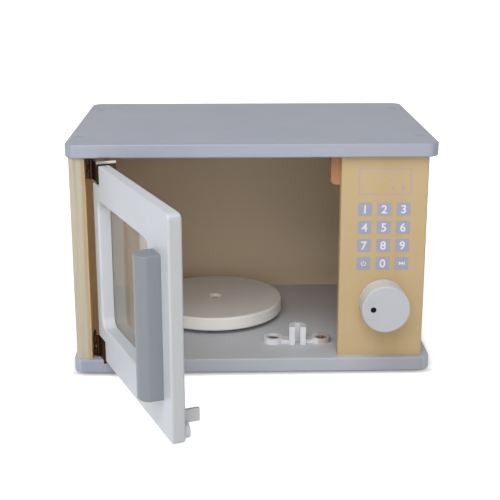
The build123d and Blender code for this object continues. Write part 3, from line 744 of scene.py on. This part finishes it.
# %% Grow the tree that sets screws
def begin_tree(name, inputs, output):
    """A Geometry Nodes tree, the identifiers of its named inputs and the node that hands them in."""
    tree = bpy.data.node_groups.new(name, "GeometryNodeTree")
    sockets = {}
    for label, kind in inputs.items():
        socket = tree.interface.new_socket(label, in_out="INPUT", socket_type="NodeSocket" + kind)
        sockets[label] = socket.identifier
    tree.interface.new_socket(output, in_out="OUTPUT", socket_type="NodeSocketGeometry")
    return tree, sockets, add_node(tree, "NodeGroupInput").outputs


screw_tree, screw_sockets, given = begin_tree(
    "set_screws", {"Places": "Geometry", "Screw": "Object", "Metal": "Material"}, "Screws")
model = add_node(screw_tree, "GeometryNodeObjectInfo", {"Object": given["Screw"]})
facing = add_node(screw_tree, "GeometryNodeInputNamedAttribute", {"Name": "facing"}, data_type="FLOAT_VECTOR")
setting = add_node(screw_tree, "GeometryNodeInstanceOnPoints", {
    "Points": given["Places"], "Instance": model.outputs["Geometry"],
    "Rotation": facing.outputs["Attribute"]})
real = add_node(screw_tree, "GeometryNodeRealizeInstances", {0: setting.outputs[0]})
plated = add_node(screw_tree, "GeometryNodeSetMaterial", {
    "Geometry": real.outputs[0], "Material": given["Metal"]})
add_node(screw_tree, "NodeGroupOutput", {0: plated.outputs[0]})
print("screw tree:", len(screw_tree.nodes), "nodes")


# %% Set the screws of one node
def grow(piece_name, host, tree, sockets, values):
    """Run a Geometry Nodes tree on a host and keep the result as a plain mesh."""
    maker = host.modifiers.new("grow", "NODES")
    maker.node_group = tree
    for label, value in values.items():
        maker[sockets[label]] = value
    mesh = plain_mesh(host)
    mesh.name = piece_name
    bpy.data.objects.remove(host)
    return put_in_scene(piece_name, mesh)


def set_screws(name, body, dome):
    """Cross-headed screws in place of the plain solids of one CAD node."""
    first_turn, turn_step = 0.3, 0.7
    seats = [screw_seat(points) for points in solids_of(name)]
    sizes = seats[0]
    master = turned_screw(name + "_master", sizes["head"], sizes["shank"], sizes["height"],
                          sizes["length"], dome)
    places = bpy.data.meshes.new(name + "_places")
    places.from_pydata([tuple(seat["place"]) for seat in seats], [], [])
    turns = places.attributes.new("facing", "FLOAT_VECTOR", "POINT")
    for index, seat in enumerate(seats):
        upright = Vector(seat["axis"]).to_track_quat("Z", "Y")
        own_turn = Matrix.Rotation(first_turn + turn_step * index, 3, "Z").to_quaternion()
        turns.data[index].vector = (upright @ own_turn).to_euler()
    piece = grow(name + "_cut", put_in_scene(name + "_host", places), screw_tree, screw_sockets,
                 {"Screw": master, "Metal": zinc})
    bpy.data.objects.remove(master)
    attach(piece, body)
    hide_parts(name)
    print(name, len(seats), "screws,", len(piece.data.polygons), "faces")


# %% [markdown]
# The small heads on the hinges, the window and the striker are domed over most of their height, the
# large ones of the case and the turntable over half of it. The last number of each row says how much.

# %% Set all screws
for screw_node, screw_body, screw_dome in (
    ("top_board_screws", "cabinet", 0.5),
    ("bottom_board_screws", "cabinet", 0.5),
    ("back_panel_screws", "cabinet", 0.5),
    ("hinge_wall_screws", "cabinet", 0.7),
    ("catch_screws", "cabinet", 0.6),
    ("turntable_screw", "cabinet", 0.5),
    ("hinge_door_screws", "door", 0.7),
    ("window_screws", "door", 0.7),
    ("handle_screws", "door", 0.6),
    ("striker_screws", "door", 0.7),
    ("knob_retainer_screw", "knob", 0.6),
):
    set_screws(screw_node, screw_body, screw_dome)

# %% [markdown]
# ## The printed keys
# The control panel carries a pad of twelve lavender keys with white figures, printed on the wood. Print
# is a film far thinner than a hair, and on a mesh it needs just enough height not to flicker. A tree
# fills one rounded key and sets it on a grid of three by four. Painting the keys by a shader would also
# work, but a mesh keeps their edges crisp at any size.

# %% Measure the panel and the pad
panel_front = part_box("control_panel")[0].y
film = 0.00005
pad_middle_x, pad_middle_z = 0.1083, 0.11615
keys_across, keys_down = 3, 4
key_pitch_x, key_pitch_z = 0.0159, 0.0155
key_width, key_height = 0.0115, 0.0113
key_corner, corner_points = 0.0013, 5
print("panel front at", round(panel_front, 5),
      "keys reach", round(pad_middle_x + key_pitch_x + key_width / 2, 4))

# %% Grow the tree of the key pad
pad_tree, pad_sockets, given = begin_tree("print_key_pad", {
    "Start": "Geometry", "Key width": "Float", "Key height": "Float", "Corner": "Float",
    "Pitch across": "Float", "Pitch down": "Float", "Film": "Float", "Middle": "Vector",
    "Ink": "Material"}, "Keys")
outline = add_node(pad_tree, "GeometryNodeCurvePrimitiveQuadrilateral", {
    "Width": given["Key width"], "Height": given["Key height"]})
rounded = add_node(pad_tree, "GeometryNodeFilletCurve", {
    "Curve": outline.outputs[0], "Radius": given["Corner"], "Count": corner_points}, mode="POLY")
filled = add_node(pad_tree, "GeometryNodeFillCurve", {"Curve": rounded.outputs[0]}, mode="NGONS")
raised = add_node(pad_tree, "GeometryNodeExtrudeMesh", {
    "Mesh": filled.outputs[0], "Offset Scale": given["Film"]}, mode="FACES")
underside = add_node(pad_tree, "GeometryNodeFlipFaces", {"Mesh": filled.outputs[0]})
closed = add_node(pad_tree, "GeometryNodeJoinGeometry", {0: raised.outputs["Mesh"]})
join(pad_tree, underside.outputs[0], closed.inputs[0])
span_across = add_node(pad_tree, "ShaderNodeMath", {0: given["Pitch across"], 1: keys_across - 1},
                       operation="MULTIPLY")
span_down = add_node(pad_tree, "ShaderNodeMath", {0: given["Pitch down"], 1: keys_down - 1},
                     operation="MULTIPLY")
grid = add_node(pad_tree, "GeometryNodeMeshGrid", {
    "Size X": span_across.outputs[0], "Size Y": span_down.outputs[0],
    "Vertices X": keys_across, "Vertices Y": keys_down})
setting = add_node(pad_tree, "GeometryNodeInstanceOnPoints", {
    "Points": grid.outputs["Mesh"], "Instance": closed.outputs[0]})
real = add_node(pad_tree, "GeometryNodeRealizeInstances", {0: setting.outputs[0]})
stood = add_node(pad_tree, "GeometryNodeTransform", {
    "Geometry": real.outputs[0], "Translation": given["Middle"], "Rotation": (pi / 2, 0, 0)})
inked = add_node(pad_tree, "GeometryNodeSetMaterial", {
    "Geometry": stood.outputs[0], "Material": given["Ink"]})
add_node(pad_tree, "NodeGroupOutput", {0: inked.outputs[0]})
print("key pad tree:", len(pad_tree.nodes), "nodes")

# %% Print the key pad
ink = smooth_finish("key_ink", srgb(158, 159, 178), 0.5)
blank = put_in_scene("pad_host", bpy.data.meshes.new("pad_host"))
key_pad = grow("key_pad", blank, pad_tree, pad_sockets, {
    "Key width": key_width, "Key height": key_height, "Corner": key_corner,
    "Pitch across": key_pitch_x, "Pitch down": key_pitch_z, "Film": film,
    "Middle": (pad_middle_x, panel_front, pad_middle_z), "Ink": ink})
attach(key_pad, "cabinet")
print("key pad faces:", len(key_pad.data.polygons))

# %% [markdown]
# ## Figures and signs
# The figures are plain numbers in Blender's own font, thickened a little. A text object is turned into a
# mesh first and put in place afterwards, so that its place is in its points. Drawing each figure by
# hand would give the same, with far more to write. The two signs beside the zero are no letters, so
# they are drawn from an open ring, bars and arrow heads.


# %% Stand flat shapes on the panel
def flat_to_front(mesh, x, z, lift):
    """Stand a flat mesh upright on the panel's face, at a place across and up."""
    mesh.transform(Matrix.Translation((x, panel_front - lift, z)) @ Matrix.Rotation(pi / 2, 4, "X"))
    return mesh


def strip_mesh(outline_points):
    """A thin closed plate from the corners of its outline, facing +Z."""
    form = bmesh.new()
    front = [form.verts.new((x, y, film / 2)) for x, y in outline_points]
    back = [form.verts.new((x, y, -film / 2)) for x, y in outline_points]
    close_rows(form, [back, front])
    form.faces.new(front)
    form.faces.new(back[::-1])
    bmesh.ops.recalc_face_normals(form, faces=form.faces)
    return mesh_of(form, "strip")


def print_piece(name, meshes, material):
    """Join upright meshes into one printed piece on the cabinet."""
    form = bmesh.new()
    for mesh in meshes:
        form.from_mesh(mesh)
    mesh = mesh_of(form, name)
    mesh.materials.append(material)
    piece = put_in_scene(name, mesh)
    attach(piece, "cabinet")
    print(name, "of", len(meshes), "meshes,", len(mesh.polygons), "faces")


# %% Write the ten figures
def figure_mesh(text, size, weight):
    """A centred figure as a thin closed mesh that faces +Z."""
    words = bpy.data.curves.new("figure", "FONT")
    words.body = text
    words.size = size
    words.offset = weight
    words.extrude = film / 2
    words.align_x = "CENTER"
    words.align_y = "CENTER"
    holder = put_in_scene("figure", words)
    mesh = plain_mesh(holder)
    bpy.data.objects.remove(holder)
    corners = np.array([vertex.co for vertex in mesh.vertices])
    middle = (corners.min(0) + corners.max(0)) / 2
    mesh.transform(Matrix.Translation((-middle[0], -middle[1], 0)))
    return mesh


key_columns = [pad_middle_x + step * key_pitch_x for step in (-1, 0, 1)]
key_rows = [pad_middle_z + step * key_pitch_z for step in (1.5, 0.5, -0.5, -1.5)]
figure_size = 0.0098
figure_weight = 0.00018
key_places = {str(3 * row + column + 1): (column, row) for row in range(3) for column in range(3)}
key_places["0"] = (1, 3)
figures = []
for text, (column, row) in key_places.items():
    written = figure_mesh(text, figure_size, figure_weight)
    figures.append(flat_to_front(written, key_columns[column], key_rows[row], film))
print("figures:", len(figures))

# %% Draw the two signs and print all on the keys
sign_reach = 0.0021
sign_line = 0.0006
arrow_half = sign_reach * 0.8
bar_foot, bar_top = 0.0002, sign_reach + 0.0003
ring_points = 20
ring_start, ring_stop = pi / 2 + radians(40), pi / 2 + 2 * pi - radians(40)


def arc_points(radius, start, stop, count):
    """Points along an arc round the origin."""
    angles = [start + (stop - start) * step / count for step in range(count + 1)]
    return [(radius * cos(angle), radius * sin(angle)) for angle in angles]


def rectangle(left, low, right, high):
    """The four corners round an upright rectangle."""
    return [(left, low), (right, low), (right, high), (left, high)]


open_ring = (arc_points(sign_reach, ring_start, ring_stop, ring_points)
             + arc_points(sign_reach - sign_line, ring_stop, ring_start, ring_points))
upright_bar = rectangle(-sign_line / 2, bar_foot, sign_line / 2, bar_top)
first_arrow = [(-sign_reach, -arrow_half), (0, 0), (-sign_reach, arrow_half)]
second_arrow = [(0, -arrow_half), (sign_reach, 0), (0, arrow_half)]
end_bar = rectangle(sign_reach, -arrow_half, sign_reach + sign_line, arrow_half)
for shape, column in ((open_ring, 0), (upright_bar, 0), (first_arrow, 2), (second_arrow, 2), (end_bar, 2)):
    figures.append(flat_to_front(strip_mesh(shape), key_columns[column], key_rows[3], film))
print_piece("key_figures", figures, smooth_finish("figure_ink", srgb(228, 230, 236), 0.5))

# %% [markdown]
# ## The display
# Above the keys a thin line frames a display of segment figures, in an ink so pale that the wood nearly
# hides it, with two small plain marks below them. Segments are seven bars, and a figure is the set of
# bars that are drawn. A font with such figures could be used, but seven bars are quicker. The time
# shown is a plain one of no meaning.


# %% Print the display's frame and its two marks
def print_strips(name, outlines, material):
    """Print thin strips whose outlines are given in the panel's own measures."""
    print_piece(name, [flat_to_front(strip_mesh(outline), 0, 0, film / 2) for outline in outlines], material)


display_left, display_right = 0.0866, 0.1300
display_low, display_high = 0.1515, 0.1738
frame_line = 0.0012
inside_left, inside_right = display_left + frame_line, display_right - frame_line
inside_low, inside_high = display_low + frame_line, display_high - frame_line
print_strips("display_frame", [
    rectangle(display_left, display_low, display_right, inside_low),
    rectangle(display_left, inside_high, display_right, display_high),
    rectangle(display_left, inside_low, inside_left, inside_high),
    rectangle(inside_right, inside_low, display_right, inside_high),
], smooth_finish("outline_ink", srgb(184, 162, 160), 0.5))

low_mark = rectangle(0.1141, 0.1562, 0.1165, 0.1581)
tall_mark = rectangle(0.1219, 0.1558, 0.1243, 0.1593)
print_strips("display_marks", [low_mark, tall_mark], smooth_finish("mark_ink", srgb(168, 160, 172), 0.5))

# %% Print the segment figures
segment_sets = {"0": "abcdef", "1": "bc", "2": "abged", "3": "abgcd"}
digit_width, digit_height, segment_line = 0.0046, 0.0088, 0.0009
segment_gap_share = 0.7


def segment_bars(digit, left, low):
    """The bars of one segment figure as corner lists."""
    middle, top, right = low + digit_height / 2, low + digit_height, left + digit_width
    half, gap = segment_line / 2, segment_line * segment_gap_share
    level = {"a": top, "g": middle, "d": low}
    upright = {"f": (left, middle), "b": (right, middle), "e": (left, low), "c": (right, low)}
    shapes = []
    for segment in segment_sets[digit]:
        if segment in level:
            z = level[segment]
            shapes.append(rectangle(left + gap, z - half, right - gap, z + half))
        else:
            x, z = upright[segment]
            shapes.append(rectangle(x - half, z + gap, x + half, z + digit_height / 2 - gap))
    return shapes


time_left, time_low = 0.0955, 0.1625
digit_steps = (0.0, 0.0066, 0.0148, 0.0214)
segments = []
for digit, step in zip("1230", digit_steps):
    segments += segment_bars(digit, time_left + step, time_low)
dot_half = 0.0005
colon_x = time_left + (digit_steps[1] + digit_width + digit_steps[2]) / 2
for dot_z in (time_low + digit_height * 0.3, time_low + digit_height * 0.7):
    segments.append(rectangle(colon_x - dot_half, dot_z - dot_half, colon_x + dot_half, dot_z + dot_half))
print_strips("display_figures", segments, smooth_finish("faint_ink", srgb(190, 168, 150), 0.5))
